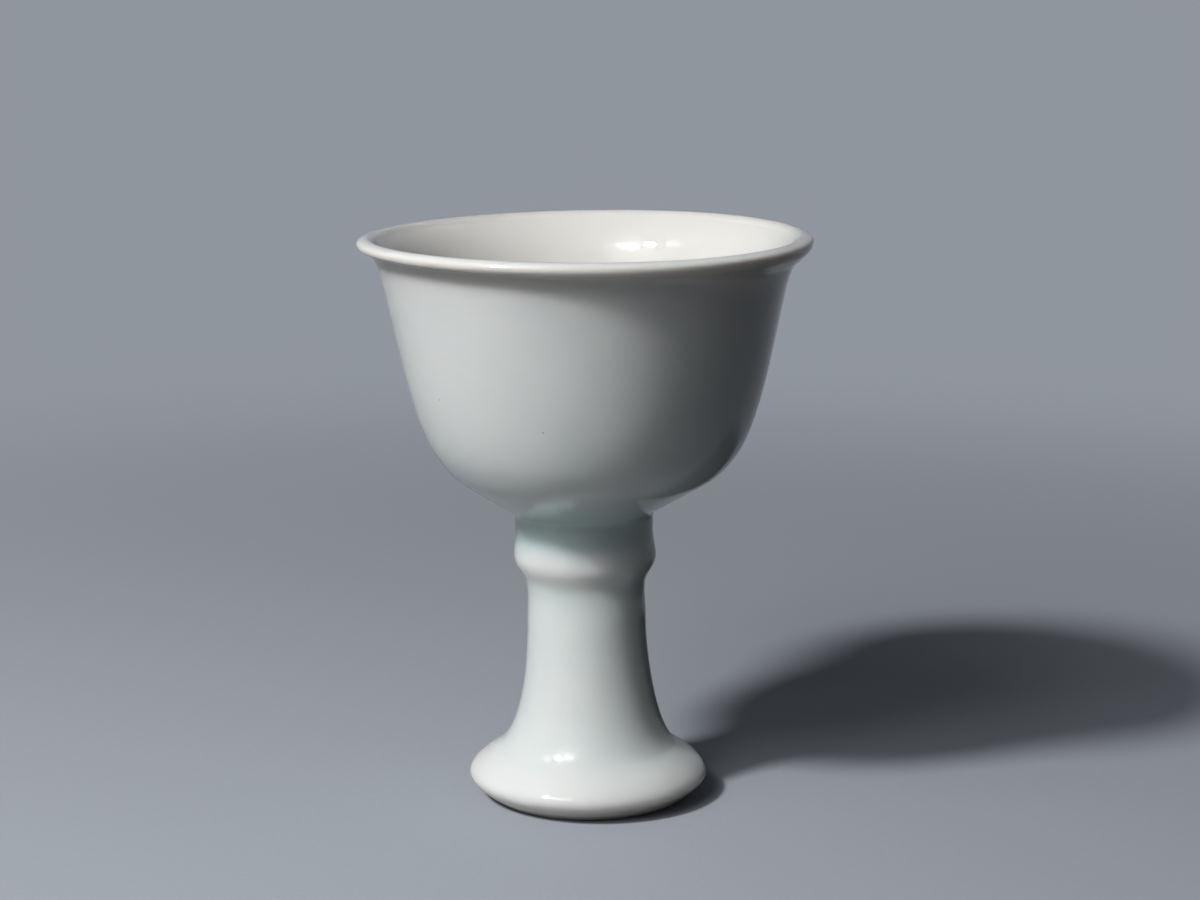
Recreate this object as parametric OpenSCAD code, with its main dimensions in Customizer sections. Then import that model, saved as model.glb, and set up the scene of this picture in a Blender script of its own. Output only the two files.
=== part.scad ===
// Stem cup: a thrown porcelain bowl luted onto a hollow stem with a cushion foot,
// under a pale glaze. Millimetres, Z up, the foot ring standing on Z = 0, the axis on Z.
// Sizes are those of the fired porcelain, and the glaze lies on top of them.

/* [Foot] */
// Widest diameter of the foot
foot_d = 38.1; // [33:0.1:44]
// Height of the foot's widest edge above the table
foot_edge_h = 3.6; // [2.8:0.05:4.6]
// How far the foot's edge overhangs the resting ring
foot_overhang = 3.3; // [2.6:0.1:4.2]
// Width of the bare flat ring that the cup rests on
foot_ring_w = 3.2; // [2:0.1:4.2]
// How much flatter than its chord the foot's underside starts, in degrees
foot_belly = 2; // [0:1:6]
// Diameter at the ankle, where the foot turns into the shaft
ankle_d = 27.8; // [24:0.1:31]
// Height of the ankle above the table
ankle_h = 8.3; // [7:0.05:10]
// Slope of the foot's top at the ankle, in degrees
ankle_slope = 46.5; // [39:0.5:56]

/* [Stem] */
// Height of the stem, from the table to the bed of slip under the bowl
stem_h = 44.9; // [38:0.1:60]
// Diameter of the shaft at its waist
waist_d = 18.6; // [15:0.1:23]
// Depth of the waist below the top of the stem
waist_drop = 15.35; // [12:0.05:19]
// Diameter of the stem's head inside the collar ring
head_d = 17.8; // [15:0.1:21]
// Diameter of the bore up the stem
bore_d = 10.4; // [8:0.1:12.5]
// Height above the table at which the bore starts to flare
flare_h = 16; // [12:0.5:22]
// Slope of the flared hollow where it meets the resting ring, in degrees
flare_slope = 48; // [40:1:62]

/* [Collar] */
// Height of the collar ring
collar_h = 9.4; // [7.8:0.1:11]
// Width of the shoulder that the collar ring sits on
shoulder_w = 0.45; // [0.3:0.05:0.8]
// Lean of the collar ring where it leaves the shoulder, in degrees
crease_lean = 80; // [60:1:88]
// Thickness of the collar ring at its bead
bead_t = 2.25; // [1.8:0.05:3.2]
// Depth of the bead below the top of the stem
bead_drop = 5.05; // [4.6:0.05:6]
// Thickness of the collar ring at its neck
neck_t = 1.9; // [1.5:0.05:2.6]
// Depth of the neck below the top of the stem
neck_drop = 1.1; // [0.8:0.05:2.6]
// Thickness of the collar ring at its top
seat_t = 1.95; // [1.6:0.05:2.6]
// Lean of the collar ring at its top, in degrees
collar_top_lean = 86; // [75:1:90]

/* [Bowl] */
// Diameter of the mouth
mouth_d = 71.4; // [62:0.2:84]
// Height of the bowl, from its seat to the top of the lip
bowl_h = 45.8; // [36:0.2:58]
// Height of the short boss under the bowl, from its seat to the corner with the underside
boss_h = 1.6; // [1.3:0.05:2.4]
// Length of the fillet on each side of that corner
boss_fillet = 1.1; // [0.6:0.05:1.25]
// Diameter at which the straight underside starts to turn up
base_d = 38.6; // [34:0.1:42]
// Slope of the straight underside, in degrees
base_slope = 32; // [26:1:36]
// Diameter at the haunch, where the underside turns into the side
haunch_d = 47.8; // [44:0.2:54]
// Height of the haunch above the seat
haunch_h = 11.45; // [9.5:0.05:13.5]
// Slope of the haunch, in degrees
haunch_slope = 55; // [49:1:62]
// Thickness of the wall at the haunch
haunch_t = 2.6; // [2:0.1:3.4]
// Thickness of the bowl's floor over its seat
floor_t = 4.5; // [3.5:0.1:6]

/* [Lip] */
// How far the lip stands out from the throat
lip_reach = 4; // [3:0.1:5.2]
// Height of the lip, from the throat to its top
lip_h = 7.1; // [5.6:0.1:9]
// Slope of the wall at the throat, in degrees
throat_slope = 75.5; // [70:0.5:82]
// Thickness of the wall at the throat
throat_t = 2.7; // [2.1:0.1:3.3]
// How much flatter the inner face runs at the throat than the outer one, in degrees
throat_flare = 5; // [0:0.5:9]
// Thickness of the wall along the lip
lip_t = 1.8; // [1.4:0.05:2.2]
// How far in from the mouth the lip's underside turns into its edge
lip_under_in = 1.7; // [1.3:0.05:2.2]
// Depth of that turn below the top of the lip
lip_under_drop = 2.3; // [1.95:0.05:2.8]
// Slope of the lip's underside, in degrees
lip_under_slope = 40; // [33:1:48]
// Depth of the widest edge of the lip below its top
lip_edge_drop = 0.6; // [0.4:0.05:1]
// How far in from the mouth the top of the lip lies
lip_top_in = 1.4; // [1.1:0.05:1.7]

/* [Joint] */
// Length of the tenon under the bowl that drops into the bore
tenon_l = 3.5; // [2:0.1:6]
// Thickness of the slip that beds the bowl on the stem and fills round the tenon
slip_t = 0.5; // [0.3:0.05:0.8]
// Size of the slip squeezed out below the tenon
slip_roll = 1; // [0.5:0.1:1.6]

/* [Glaze] */
// Thickness of the fired glaze
glaze_t = 0.3; // [0.15:0.05:0.45]
// Height of the glaze's lower edge above the table
glaze_line_h = 1; // [0.6:0.1:1.4]

/* [Hidden] */
$fn = 96;

// Straight steps along each curved stretch of an outline
curve_steps = 12;

porcelain_colour = "#d8d3c8";
slip_colour = "#c9c1b3";
liner_colour = "#e2e2df";
glaze_colour = "#d3dad8";

foot_r = foot_d / 2;
ring_r = foot_r - foot_overhang;
hollow_r = ring_r - foot_ring_w;
bore_r = bore_d / 2;
head_r = head_d / 2;
tenon_r = bore_r - slip_t;
seat_r = head_r + seat_t;
mouth_r = mouth_d / 2;
crease_z = stem_h - collar_h;
seat_z = stem_h + slip_t;
tenon_z = seat_z - tenon_l;
lip_z = seat_z + bowl_h;
under_slope = atan2(foot_edge_h, foot_overhang) - foot_belly;

// Stations of the outline, each a radius, a height and the way the outline runs there
foot_line = [ring_r + glaze_line_h / tan(under_slope), glaze_line_h, under_slope];
foot_edge = [foot_r, foot_edge_h, 90];
ankle = [ankle_d / 2, ankle_h, 180 - ankle_slope];
waist = [waist_d / 2, stem_h - waist_drop, 90];
crease = [head_r + shoulder_w, crease_z, crease_lean];
bead = [head_r + bead_t, stem_h - bead_drop, 90];
neck = [head_r + neck_t, stem_h - neck_drop, 90];
collar_top = [seat_r, stem_h, collar_top_lean];
boss_corner = [seat_r, seat_z + boss_h];
boss_low = [seat_r, boss_corner[1] - boss_fillet, 90];
boss_high = concat(boss_corner + boss_fillet * heading(base_slope), base_slope);
base = [base_d / 2, boss_corner[1] + (base_d / 2 - seat_r) * tan(base_slope), base_slope];
haunch = [haunch_d / 2, seat_z + haunch_h, haunch_slope];
throat = [mouth_r - lip_reach, lip_z - lip_h, throat_slope];
lip_under = [mouth_r - lip_under_in, lip_z - lip_under_drop, lip_under_slope];
lip_edge = [mouth_r, lip_z - lip_edge_drop, 90];
lip_top = [mouth_r - lip_top_in, lip_z, 180];
inner_lip = behind(lip_under, lip_t);
inner_throat = behind(throat, throat_t, throat_flare);
inner_haunch = behind(haunch, haunch_t);
well = [0, seat_z + floor_t, 180];

// Outer face of the stem, from the glaze line up to the collar's shoulder
stem_outline = concat(
    span(foot_line, foot_edge, 0.4, 0.25),
    span(foot_edge, ankle, 0.22, 0.19),
    span(ankle, waist, 0.24, 0.28),
    span(waist, crease));

// Outer face of the collar ring, from the shoulder up to the slip
collar_outline = concat(
    span(crease, bead),
    span(bead, neck),
    span(neck, collar_top),
    [place(collar_top)]);

// Outer face of the bowl, from its seat up to the top of the lip
bowl_outline = concat(
    [[seat_r, seat_z]],
    span(boss_low, boss_high),
    [place(boss_high)],
    span(base, haunch, 0.25, 0.55),
    span(haunch, throat, 0.25, 0.25),
    span(throat, lip_under, 0.45, 0.3),
    span(lip_under, lip_edge, 0.4, 0.4),
    span(lip_edge, lip_top, 0.25, 0.25));

// Inner face of the bowl, from the top of the lip down to the middle of the well
inner_outline = concat(
    span(lip_top, inner_lip, 0.45, 0.2),
    span(inner_lip, inner_throat),
    span(inner_throat, inner_haunch),
    span(inner_haunch, well, 0.3, 0.45),
    [place(well)]);

// All of the outside that the glaze covers
glazed_outline = concat(stem_outline, collar_outline, bowl_outline, [place(lip_top)]);

// Direction of an angle, and the normal to the right of a direction
function heading(angle) = [cos(angle), sin(angle)];
function right_of(direction) = [direction[1], -direction[0]];

// Point of a station
function place(station) = [station[0], station[1]];

// The station on the other side of a wall, where the outline runs back, flatter by the flare
function behind(station, wall, flare = 0) = let (
    inward = -right_of(heading(station[2])),
    point = place(station) + wall * inward)
    [point[0], point[1], station[2] + 180 - flare];

// Point at a share of the way along a cubic curve
function curve_point(a, b, c, d, share) = let (left = 1 - share)
    left ^ 3 * a + 3 * left ^ 2 * share * b + 3 * left * share ^ 2 * c + share ^ 3 * d;

// Points of the curve between two stations, without its last; each pull is a share of the chord
function span(from, to, pull_from = 0.35, pull_to = 0.35) = let (
    start = place(from),
    end = place(to),
    chord = norm(end - start),
    leave = start + pull_from * chord * heading(from[2]),
    arrive = end - pull_to * chord * heading(to[2]))
    [for (step = [0 : curve_steps - 1])
        curve_point(start, leave, arrive, end, step / curve_steps)];

// Normal to the right of the line between two points
function line_normal(a, b) = right_of((b - a) / norm(b - a));

// Outline moved to its right by a depth, mitred at its corners and square to its end directions
function grown(points, depth, first_angle, last_angle) = let (last = len(points) - 1)
    [for (i = [0 : last]) let (
        before = i == 0 ? right_of(heading(first_angle)) : line_normal(points[i - 1], points[i]),
        after = i == last ? right_of(heading(last_angle)) : line_normal(points[i], points[i + 1]),
        mitre = (before + after) / (1 + before * after),
        shift = i == 0 ? before : i == last ? after : mitre)
        points[i] + depth * shift];

function reversed(points) = [for (i = [len(points) - 1 : -1 : 0]) points[i]];

// Coat of glaze on an outline
module coat(outline, first_angle, last_angle)
    rotate_extrude()
        polygon(concat(outline, reversed(grown(outline, glaze_t, first_angle, last_angle))));

// Hollow shaft and cushion foot, with a turned head for the collar ring
module stem() color(porcelain_colour)
    rotate_extrude()
        polygon(concat(
            [[ring_r, 0]],
            stem_outline,
            [place(crease), [head_r, crease_z], [head_r, stem_h], [bore_r, stem_h]],
            span([bore_r, flare_h, 270], [hollow_r, 0, -flare_slope]),
            [[hollow_r, 0]]));

// Coil of clay luted round the stem's head and turned to a bead
module collar_ring() color(porcelain_colour)
    rotate_extrude()
        polygon(concat(collar_outline, [[head_r, stem_h], [head_r, crease_z]]));

// Bed of slip under the bowl, its sleeve round the tenon and what was squeezed out below
module luting_slip() color(slip_colour)
    rotate_extrude()
        polygon(concat(
            [[tenon_r, seat_z], [seat_r, seat_z], [seat_r, stem_h], [bore_r, stem_h]],
            span([bore_r, tenon_z - slip_roll, 110], [tenon_r - slip_roll, tenon_z, 160]),
            [[tenon_r - slip_roll, tenon_z], [tenon_r, tenon_z]]));

// Bowl with its turned-out lip and the tenon under its seat
module bowl() color(porcelain_colour)
    rotate_extrude()
        polygon(concat(
            bowl_outline,
            inner_outline,
            [[0, tenon_z], [tenon_r, tenon_z], [tenon_r, seat_z]]));

// Glaze inside the bowl, up to the top of the lip
module liner_glaze() color(liner_colour) coat(inner_outline, lip_top[2], well[2]);

// Glaze outside, from the top of the lip down to the glaze line on the foot
module outer_glaze() color(glaze_colour) coat(glazed_outline, foot_line[2], lip_top[2]);

stem();
collar_ring();
luting_slip();
bowl();
liner_glaze();
outer_glaze();
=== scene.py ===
"""Looks of a thrown porcelain stem cup: bare porcelain, the slip in its joint and two coats of pale glaze.

Every piece is turned from its outline, as on the wheel, and then leans and tilts a little, as a cup made
by hand does. Sizes are in millimetres until they become mesh, which is in metres.
"""

import logging
import math
from collections.abc import Callable
from dataclasses import dataclass, field
from enum import Enum
from typing import Any

import bpy
import numpy as np
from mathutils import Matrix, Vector


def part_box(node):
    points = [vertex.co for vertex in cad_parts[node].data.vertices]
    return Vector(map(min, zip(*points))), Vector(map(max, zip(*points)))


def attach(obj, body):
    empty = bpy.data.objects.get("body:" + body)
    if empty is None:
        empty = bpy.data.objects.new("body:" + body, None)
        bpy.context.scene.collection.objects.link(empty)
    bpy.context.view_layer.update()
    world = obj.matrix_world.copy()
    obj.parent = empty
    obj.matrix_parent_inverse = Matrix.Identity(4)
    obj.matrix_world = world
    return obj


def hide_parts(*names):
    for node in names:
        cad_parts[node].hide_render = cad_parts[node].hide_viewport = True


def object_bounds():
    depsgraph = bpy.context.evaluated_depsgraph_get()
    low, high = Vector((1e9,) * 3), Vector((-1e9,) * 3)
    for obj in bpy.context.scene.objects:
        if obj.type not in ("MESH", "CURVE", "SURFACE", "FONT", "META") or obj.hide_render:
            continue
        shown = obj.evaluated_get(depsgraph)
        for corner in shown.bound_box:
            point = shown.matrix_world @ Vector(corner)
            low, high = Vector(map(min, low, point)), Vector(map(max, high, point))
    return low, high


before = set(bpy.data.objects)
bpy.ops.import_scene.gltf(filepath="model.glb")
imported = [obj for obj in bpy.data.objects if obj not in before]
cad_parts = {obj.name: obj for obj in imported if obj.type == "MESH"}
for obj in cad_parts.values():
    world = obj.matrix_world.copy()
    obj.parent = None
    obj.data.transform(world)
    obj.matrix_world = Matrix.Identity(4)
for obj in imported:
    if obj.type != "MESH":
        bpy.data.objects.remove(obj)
CAD_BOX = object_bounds()

LOG = logging.getLogger("stem_cup")
MM = 0.001
DEPTH_ATTRIBUTE = "glaze_depth"
WARP_ATTRIBUTE = "warp"
SLIDE_ATTRIBUTE = "slide"
DROOP_ATTRIBUTE = "droop"

Colour = tuple[float, float, float]
Place = tuple[float, float, float]
Limits = tuple[float, float]
Keys = tuple[tuple[float, float], ...]
Tree = bpy.types.NodeTree
Socket = bpy.types.NodeSocket
Material = bpy.types.Material


class Slot(Enum):
    """Names of the record's material slots."""

    PORCELAIN = "bare_porcelain"
    SLIP = "luting_slip"
    LINER = "liner_glaze"
    GLAZE = "outer_glaze"


class SocketKind(Enum):
    """Kinds of socket that the node groups have."""

    VALUE = "NodeSocketFloat"
    COUNT = "NodeSocketInt"
    VECTOR = "NodeSocketVector"
    COLOUR = "NodeSocketColor"
    GEOMETRY = "NodeSocketGeometry"
    MATERIAL = "NodeSocketMaterial"


def top_of(node: str) -> float:
    """Height of a node's top, in millimetres."""
    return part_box(node)[1].z / MM


def bottom_of(node: str) -> float:
    """Height of a node's underside, in millimetres."""
    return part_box(node)[0].z / MM


def reach_of(node: str) -> float:
    """Largest radius of a node, in millimetres."""
    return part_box(node)[1].x / MM


def from_frame(measure: Callable[[str], float], node: str) -> Any:
    """Dataclass field whose value is measured on a node of the frame."""
    return field(default_factory=lambda: measure(node))


def new_object(name: str, data: bpy.types.ID) -> bpy.types.Object:
    """Makes an object and puts it in the scene.

    Args:
        name: Name of the object.
        data: Its mesh, light or camera.

    Returns:
        The object.
    """
    item = bpy.data.objects.new(name, data)
    bpy.context.scene.collection.objects.link(item)
    return item


# Outlines

def heading(angle: float) -> np.ndarray:
    """Direction of an angle in degrees, as a step outwards and a step up."""
    return np.array((math.cos(math.radians(angle)), math.sin(math.radians(angle))))


def right_of(steps: np.ndarray) -> np.ndarray:
    """Unit normals to the right of some directions, which is outwards on an outline that runs up."""
    lengths = np.linalg.norm(steps, axis=-1, keepdims=True)
    return np.stack((steps[..., 1], -steps[..., 0]), axis=-1) / lengths


@dataclass(frozen=True)
class Station:
    """A place on an outline, and the way the outline runs there, in degrees.

    The depth of the glaze is a share of its usual depth, and the droop is a share of the lip's droop.
    """

    radius: float
    height: float
    angle: float
    depth: float = 1.0
    droop: float = 0.0

    @property
    def point(self) -> np.ndarray:
        """Radius and height."""
        return np.array((self.radius, self.height))

    def behind(self, wall: float, depth: float, flare: float = 0.0) -> "Station":
        """The station on the other side of a wall, where the outline runs back.

        Args:
            wall: Thickness of the wall.
            depth: Depth of the glaze on that side.
            flare: How much flatter the outline runs there, in degrees.

        Returns:
            The station across the wall.
        """
        radius, height = self.point - wall * right_of(heading(self.angle))
        return Station(radius, height, self.angle + 180 - flare, depth)


def corner(radius: float, height: float, depth: float = 1.0) -> np.ndarray:
    """Outline of a single sharp point, which doesn't droop."""
    return np.array(((radius, height, depth, 0.0),))


@dataclass(frozen=True)
class Span:
    """Curve between two stations. Each pull is a share of the chord."""

    start: Station
    end: Station
    pull_start: float = 0.35
    pull_end: float = 0.35
    steps: int = 20

    def points(self) -> np.ndarray:
        """Points along the curve, closest together near its ends, without the last.

        Returns:
            Rows of radius, height, glaze depth and droop.
        """
        first, last = self.start.point, self.end.point
        chord = np.linalg.norm(last - first)
        leave = first + self.pull_start * chord * heading(self.start.angle)
        arrive = last - self.pull_end * chord * heading(self.end.angle)
        share = (1 - np.cos(np.pi * np.arange(self.steps) / self.steps)) / 2
        left = 1 - share
        weights = (left**3, 3 * left**2 * share, 3 * left * share**2, share**3)
        place = sum(np.outer(weight, point) for weight, point in zip(weights, (first, leave, arrive, last)))
        depth = left * self.start.depth + share * self.end.depth
        droop = left * self.start.droop + share * self.end.droop
        return np.column_stack((place, depth, droop))


def grown(outline: np.ndarray, thickness: np.ndarray, first_angle: float, last_angle: float) -> np.ndarray:
    """Outline moved to its right by a thickness, mitred at its corners and square to its end directions.

    Args:
        outline: Rows of radius, height, depth and droop.
        thickness: How far each point moves.
        first_angle: Way the outline runs at its first point, in degrees.
        last_angle: Way the outline runs at its last point, in degrees.

    Returns:
        The moved rows.
    """
    normals = right_of(np.diff(outline[:, :2], axis=0))
    before = np.vstack((right_of(heading(first_angle)), normals))
    after = np.vstack((normals, right_of(heading(last_angle))))
    before[-1] = after[-1]
    after[0] = before[0]
    mitre = (before + after) / (1 + np.sum(before * after, axis=1, keepdims=True))
    moved = outline.copy()
    moved[:, :2] += thickness[:, None] * mitre
    return moved


def along(outline: np.ndarray) -> np.ndarray:
    """Distance of each point of an outline from its first, along the outline."""
    steps = np.linalg.norm(np.diff(outline[:, :2], axis=0), axis=1)
    return np.concatenate(((0.0,), np.cumsum(steps)))


def eased(value: np.ndarray, low: float, high: float) -> np.ndarray:
    """Smooth rise from 0 at the low value to 1 at the high one."""
    share = np.clip((value - low) / (high - low), 0, 1)
    return share * share * (3 - 2 * share)


# Nodes

def add_node(tree: Tree, kind: str, inputs: dict | None = None, **settings: Any) -> bpy.types.Node:
    """Adds a node to a tree.

    Args:
        tree: Tree that gets the node.
        kind: Type of the node.
        inputs: Values or sockets for its inputs, by name or number.
        settings: Values for its properties.

    Returns:
        The node.
    """
    node = tree.nodes.new(kind)
    for name, value in settings.items():
        setattr(node, name, value)
    for key, value in (inputs or {}).items():
        if isinstance(value, Socket):
            tree.links.new(value, node.inputs[key])
        else:
            node.inputs[key].default_value = value
    return node


def calculate(tree: Tree, operation: str, *values: Any) -> Socket:
    """Result of a Math node on some values or sockets."""
    return add_node(tree, "ShaderNodeMath", dict(enumerate(values)), operation=operation).outputs[0]


def scaled(tree: Tree, vector: Any, scale: Any) -> Socket:
    """Product of a vector and a value."""
    return add_node(tree, "ShaderNodeVectorMath", {0: vector, "Scale": scale}, operation="SCALE").outputs[0]


def summed(tree: Tree, first: Any, second: Any) -> Socket:
    """Sum of two vectors."""
    return add_node(tree, "ShaderNodeVectorMath", {0: first, 1: second}, operation="ADD").outputs[0]


def distance(tree: Tree, first: Any, second: Any) -> Socket:
    """Distance between two places."""
    node = add_node(tree, "ShaderNodeVectorMath", {0: first, 1: second}, operation="DISTANCE")
    return node.outputs["Value"]


def mottle(tree: Tree, vector: Any, scale: Any, detail: float) -> Socket:
    """Soft random pattern from 0 to 1."""
    inputs = {"Vector": vector, "Scale": scale, "Detail": detail}
    return add_node(tree, "ShaderNodeTexNoise", inputs).outputs[0]


def ramp(tree: Tree, value: Any, limits: Limits, first: Any = 0.0, last: Any = 1.0) -> Socket:
    """Output of a Map Range node that goes smoothly from one value to another.

    Args:
        tree: Tree that gets the node.
        value: Socket that is mapped.
        limits: Values of the socket between which the result changes.
        first: Result below the lower limit.
        last: Result above the upper limit.

    Returns:
        The socket with the result.
    """
    low, high = limits
    inputs = {"Value": value, "From Min": low, "From Max": high, "To Min": first, "To Max": last}
    return add_node(tree, "ShaderNodeMapRange", inputs, interpolation_type="SMOOTHSTEP").outputs["Result"]


def opaque(colour: Any) -> Any:
    """Colour with an alpha of 1, or the value or socket that was given."""
    return (*colour, 1.0) if isinstance(colour, tuple) and len(colour) == 3 else colour


def blend(tree: Tree, factor: Any, first: Any, second: Any) -> Socket:
    """Colour between two colours or colour sockets.

    Args:
        tree: Tree that gets the node.
        factor: Share of the second colour.
        first: First colour.
        second: Second colour.

    Returns:
        The socket with the colour.
    """
    inputs = {0: factor, 6: opaque(first), 7: opaque(second)}
    return add_node(tree, "ShaderNodeMix", inputs, data_type="RGBA").outputs[2]


def new_group(name: str, kind: str, inputs: dict[str, SocketKind], outputs: dict[str, SocketKind]) -> Tree:
    """Makes an empty node tree with named sockets.

    Args:
        name: Name of the tree.
        kind: Type of the tree.
        inputs: Kinds of the inputs, by name.
        outputs: Kinds of the outputs, by name.

    Returns:
        The tree.
    """
    tree = bpy.data.node_groups.new(name, kind)
    for in_out, sockets in (("INPUT", inputs), ("OUTPUT", outputs)):
        for socket_name, socket in sockets.items():
            tree.interface.new_socket(name=socket_name, in_out=in_out, socket_type=socket.value)
    return tree


# Throwing

@dataclass(frozen=True)
class Throwing:
    """How the cup departs from a true turned form.

    It leans and tilts, its rim waves, its lip's underside hangs lower at one side, and it is a little out of
    round. Keys are pairs of a height and the value there, in millimetres and degrees.
    """

    lean_keys: Keys = ((0.0, 0.0), (16.0, 0.04), (30.0, -0.22), (39.5, -0.5), (45.5, -0.66), (58.0, -0.26),
                       (91.5, -0.44))
    tilt_keys: Keys = ((44.5, 0.0), (46.5, 1.4), (50.0, 0.6), (55.0, 0.1), (75.0, 0.1), (91.5, 0.5))
    tilt_angle: float = -23.0
    droop: float = 0.85
    droop_angle: float = 20.0
    rim_wave: float = 0.16
    rim_wave_angle: float = 45.0
    wave_start: float = 70.0
    unround: float = 0.0015
    unround_scale: float = 22.0
    seed: float = 3.7

    @staticmethod
    def keyed(heights: np.ndarray, keys: Keys) -> np.ndarray:
        """Values at some heights, easing from each key to the next.

        Args:
            heights: Heights of the outline's points.
            keys: Pairs of a height and the value there.

        Returns:
            The value at each height.
        """
        values = np.full(heights.shape, keys[0][1])
        for (low, first), (high, last) in zip(keys, keys[1:]):
            values += (last - first) * eased(heights, low, high)
        return values

    def warp(self, heights: np.ndarray) -> np.ndarray:
        """Lean, tilt and share of the rim's wave at some heights.

        Args:
            heights: Heights of the outline's points.

        Returns:
            Rows of lean in metres, slope of the tilt and share of the wave.
        """
        lean = self.keyed(heights, self.lean_keys) * MM
        tilt = np.tan(np.radians(self.keyed(heights, self.tilt_keys)))
        return np.column_stack((lean, tilt, eased(heights, self.wave_start, top_of("bowl"))))


class Wheel:
    """Geometry Nodes tree that turns an outline into a solid, and the throwing that all the pieces share.

    Points closer than the weld distance, in metres, become one, and edges that fold by more than the sharp
    angle, in degrees, stay sharp.
    """

    INPUTS = {
        "Outline": SocketKind.GEOMETRY,
        "Turns": SocketKind.COUNT,
        "Closed": SocketKind.COUNT,
        "Tilt angle": SocketKind.VALUE,
        "Droop": SocketKind.VALUE,
        "Droop angle": SocketKind.VALUE,
        "Rim wave": SocketKind.VALUE,
        "Rim wave angle": SocketKind.VALUE,
        "Unround": SocketKind.VALUE,
        "Unround scale": SocketKind.VALUE,
        "Slide scale": SocketKind.VALUE,
        "Seed": SocketKind.VALUE,
        "Sharp angle": SocketKind.VALUE,
        "Material": SocketKind.MATERIAL,
    }
    WELD_DISTANCE = 2e-7
    SHARP_ANGLE = 40.0
    RIM_WAVES = 2.0

    def __init__(self, throwing: Throwing, turns: int = 160) -> None:
        """Builds the tree.

        Args:
            throwing: Unevenness of the pieces.
            turns: Steps round the axis.
        """
        self.throwing = throwing
        self.turns = turns
        self.tree = new_group("turned piece", "GeometryNodeTree", self.INPUTS, {"Solid": SocketKind.GEOMETRY})
        self.build_tree()

    def sample(self, given: Any, ring: Socket, value: Socket, kind: str) -> Socket:
        """Value of an outline's point on the ring of each vertex.

        Args:
            given: Outputs of the tree's input node.
            ring: Number of the outline's point.
            value: Field on the outline.
            kind: Type of the value.

        Returns:
            The socket with the value.
        """
        inputs = {"Geometry": given["Outline"], "Value": value, "Index": ring}
        return add_node(self.tree, "GeometryNodeSampleIndex", inputs, data_type=kind).outputs["Value"]

    def sample_vector(self, given: Any, ring: Socket, value: Socket) -> Any:
        """Outputs X, Y and Z of an outline's vector on the ring of each vertex."""
        vector = self.sample(given, ring, value, "FLOAT_VECTOR")
        return add_node(self.tree, "ShaderNodeSeparateXYZ", {0: vector}).outputs

    def attribute(self, name: str, kind: str) -> Socket:
        """Field of a named attribute of the outline."""
        node = add_node(self.tree, "GeometryNodeInputNamedAttribute", {"Name": name}, data_type=kind)
        return node.outputs["Attribute"]

    def noise(self, vector: Socket, scale: Socket, seed: Socket) -> Socket:
        """Noise about 0, from -1 to 1.

        Args:
            vector: Place at which it is read.
            scale: Number of its waves, about, in a unit of that place.
            seed: Which noise it is.

        Returns:
            The socket with the noise.
        """
        inputs = {"Vector": vector, "Scale": scale, "W": seed, "Detail": 1.0}
        value = add_node(self.tree, "ShaderNodeTexNoise", inputs, noise_dimensions="4D").outputs[0]
        return calculate(self.tree, "MULTIPLY_ADD", value, 2.0, -1.0)

    def swing(self, angle: Socket, side: Socket, waves: float = 1.0) -> Socket:
        """Wave round the axis that is 1 at a side, and -1 opposite where there is one wave."""
        away = calculate(self.tree, "SUBTRACT", angle, side)
        return calculate(self.tree, "COSINE", calculate(self.tree, "MULTIPLY", away, waves))

    def uneven_place(self, given: Any, ring: Socket, angle: Socket) -> Socket:
        """Place of each vertex: turned round the axis, then slid, out of round, waved, tilted and leaning.

        Args:
            given: Outputs of the tree's input node.
            ring: Number of the outline's point.
            angle: Angle round the axis, in radians.

        Returns:
            The socket with the place.
        """
        tree = self.tree
        position = add_node(tree, "GeometryNodeInputPosition").outputs[0]
        place = self.sample_vector(given, ring, position)
        warp = self.sample_vector(given, ring, self.attribute(WARP_ATTRIBUTE, "FLOAT_VECTOR"))
        slide = self.sample_vector(given, ring, self.attribute(SLIDE_ATTRIBUTE, "FLOAT_VECTOR"))
        droop = self.sample(given, ring, self.attribute(DROOP_ATTRIBUTE, "FLOAT"), "FLOAT")

        cosine, sine = calculate(tree, "COSINE", angle), calculate(tree, "SINE", angle)
        outwards = add_node(tree, "ShaderNodeCombineXYZ", {0: cosine, 1: sine}).outputs[0]
        sliding = self.noise(outwards, given["Slide scale"], given["Seed"])
        radius = calculate(tree, "MULTIPLY_ADD", slide["X"], sliding, place["X"])
        height = calculate(tree, "MULTIPLY_ADD", slide["Z"], sliding, place["Z"])
        lift = add_node(tree, "ShaderNodeCombineXYZ", {2: height}).outputs[0]
        true_place = summed(tree, scaled(tree, outwards, radius), lift)

        swell = self.noise(true_place, given["Unround scale"], given["Seed"])
        swelling = calculate(tree, "MULTIPLY_ADD", swell, given["Unround"], 1.0)
        uneven = calculate(tree, "MULTIPLY", radius, swelling)
        beat = self.swing(angle, given["Rim wave angle"], self.RIM_WAVES)
        wave = calculate(tree, "MULTIPLY", beat, given["Rim wave"])
        waved = calculate(tree, "MULTIPLY_ADD", wave, warp["Z"], height)
        across = calculate(tree, "MULTIPLY", uneven, self.swing(angle, given["Tilt angle"]))
        tilted = calculate(tree, "MULTIPLY_ADD", across, warp["Y"], waved)
        hang = calculate(tree, "MULTIPLY", self.swing(angle, given["Droop angle"]), given["Droop"])
        rise = calculate(tree, "SUBTRACT", tilted, calculate(tree, "MULTIPLY", hang, droop))
        lean = add_node(tree, "ShaderNodeCombineXYZ", {0: warp["X"], 2: rise}).outputs[0]
        return summed(tree, scaled(tree, outwards, uneven), lean)

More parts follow.
